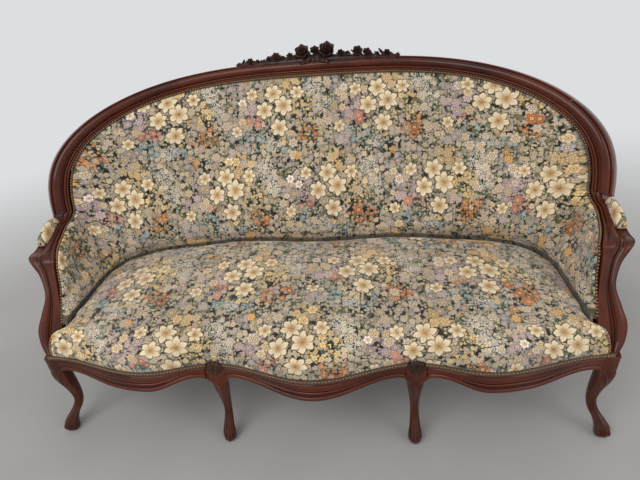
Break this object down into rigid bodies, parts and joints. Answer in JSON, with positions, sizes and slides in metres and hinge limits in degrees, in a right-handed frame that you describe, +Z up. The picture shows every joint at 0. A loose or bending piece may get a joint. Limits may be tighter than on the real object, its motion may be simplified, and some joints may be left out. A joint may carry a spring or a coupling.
{
  "type": "cabriole sofa",
  "caption": "Show-wood sofa with an arched, carved back, padded open-topped arms, scalloped front rail, cabriole legs and tight floral tapestry upholstery",
  "frame": {"origin": "on the floor, under the middle of the bounding box", "axes": "+X to the right seen from the front, along the length; +Y to the back; +Z up"},
  "size_m": [1.8146, 0.8519, 1.0562],
  "materials": {
    "mahogany": "French polished, glossy",
    "carved_mahogany": "dark stained and polished",
    "beech": "plain, unfinished",
    "stained_beech": "stained and polished",
    "tapestry": "woven floral tapestry",
    "outside_cloth": "plain weave",
    "jute": "coarse weave",
    "braid": "woven braid",
    "black_cloth": "thin non-woven",
    "spring_steel": "bare wire"
  },
  "bodies": {
    "root": {"top_rail": "mahogany", "crest_carving": "carved_mahogany", "left_shoulder_rail": "mahogany", "right_shoulder_rail": "mahogany", "left_arm_rail": "mahogany", "right_arm_rail": "mahogany", "left_arm_stump": "mahogany", "right_arm_stump": "mahogany", "left_corner_leg": "mahogany", "right_corner_leg": "mahogany", "left_inner_leg": "mahogany", "right_inner_leg": "mahogany", "left_apron": "mahogany", "centre_apron": "mahogany", "right_apron": "mahogany", "left_side_rail": "beech", "right_side_rail": "beech", "left_rear_rail": "beech", "centre_rear_rail": "beech", "right_rear_rail": "beech", "left_rear_leg": "stained_beech", "right_rear_leg": "stained_beech", "left_back_leg": "stained_beech", "right_back_leg": "stained_beech", "left_arm_upright": "beech", "right_arm_upright": "beech", "tacking_rails": "beech", "seat_braces": "beech", "corner_blocks": "beech", "block_screws": "spring_steel", "rail_dowels": "beech", "seat_webbing": "jute", "seat_springs": "spring_steel", "spring_canvas": "jute", "seat_cushion": "tapestry", "back_webbing": "jute", "back_cushion": "tapestry", "left_arm_pad": "tapestry", "right_arm_pad": "tapestry", "outside_back": "outside_cloth", "left_outside_arm": "outside_cloth", "right_outside_arm": "outside_cloth", "back_braid": "braid", "seat_braid": "braid", "dust_cover": "black_cloth"}
  },
  "joints": []
}
